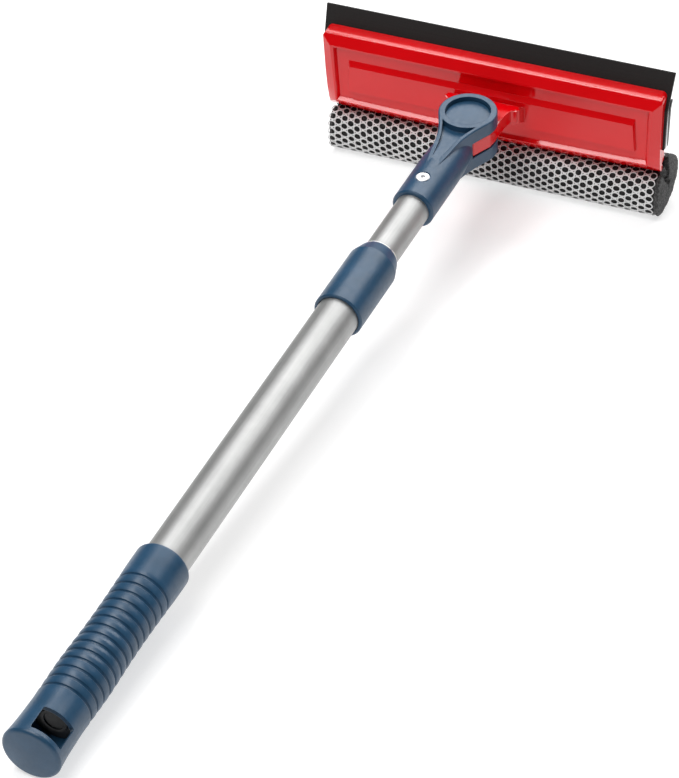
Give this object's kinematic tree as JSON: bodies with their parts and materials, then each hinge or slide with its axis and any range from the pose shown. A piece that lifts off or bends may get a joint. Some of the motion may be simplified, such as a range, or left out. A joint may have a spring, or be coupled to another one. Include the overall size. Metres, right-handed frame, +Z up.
{
  "type": "telescopic window washer",
  "caption": "Telescopic window washer: twist-lock pole with a ribbed grip and a swivelling head carrying a rubber squeegee blade and a net-covered sponge roll.",
  "frame": {"origin": "centre of the footprint of the tool lying on the ground, at ground level", "axes": "+Y along the pole from grip to head (the pole rises 5.4 degrees towards the head), +Z up, +X to the right"},
  "size_m": [0.2208, 0.624, 0.1031],
  "materials": {
    "navy_plastic": "satin moulded plastic with a fine grain",
    "red_plastic": "glossy",
    "white_plastic": "natural nylon",
    "black_plastic": "satin",
    "tube_aluminium": "satin drawn tube",
    "rivet_aluminium": "bright",
    "stiffener_aluminium": "satin strip",
    "zinc_steel": "zinc plated",
    "blade_rubber": "matte",
    "sponge_foam": "open-cell foam",
    "net_knit": "knitted net"
  },
  "bodies": {
    "handle": {"grip": "navy_plastic", "outer_tube": "tube_aluminium", "tube_end_plug": "black_plastic", "lock_sleeve": "white_plastic"},
    "collar": {"lock_collar": "navy_plastic"},
    "slider": {"guide_bush": "white_plastic"},
    "pole": {"inner_tube": "tube_aluminium", "guide_pins": "zinc_steel", "fork": "navy_plastic", "socket_rivet": "rivet_aluminium", "rivet_mandrel": "zinc_steel", "pivot_screw": "zinc_steel", "spring_washer": "zinc_steel", "pivot_nut": "zinc_steel", "pivot_spacer": "zinc_steel", "friction_washer_upper": "white_plastic", "friction_washer_lower": "white_plastic", "pivot_cap_upper": "navy_plastic", "pivot_cap_lower": "navy_plastic"},
    "head": {"head_shell": "red_plastic", "rubber_blade": "blade_rubber", "blade_stiffener": "stiffener_aluminium", "rear_clamp": "black_plastic", "clamp_screws": "zinc_steel", "core_bar": "black_plastic", "core_bar_screws": "zinc_steel", "sponge_core": "sponge_foam", "mesh_cover": "net_knit"}
  },
  "joints": [
    {"name": "collar_twist", "type": "hinge", "parent": "handle", "child": "collar", "pos_m": [0.00286, 0.06998, 0.05266], "axis": [0, 0.9956, 0.0936], "range_deg": [0, 180]},
    {"name": "pole_slide", "type": "slide", "parent": "handle", "child": "slider", "axis": [0, 0.9956, 0.0936], "range_m": [-0.0395, 0.2617]},
    {"name": "pole_turn", "type": "hinge", "parent": "slider", "child": "pole", "pos_m": [0.00286, -0.21177, 0.02617], "axis": [0, 0.9956, 0.0936], "continuous": true},
    {"name": "head_swivel", "type": "hinge", "parent": "pole", "child": "head", "pos_m": [0.00286, 0.2243, 0.06716], "axis": [0, -0.0936, 0.9956], "range_deg": [-93.06, 86.94]}
  ]
}
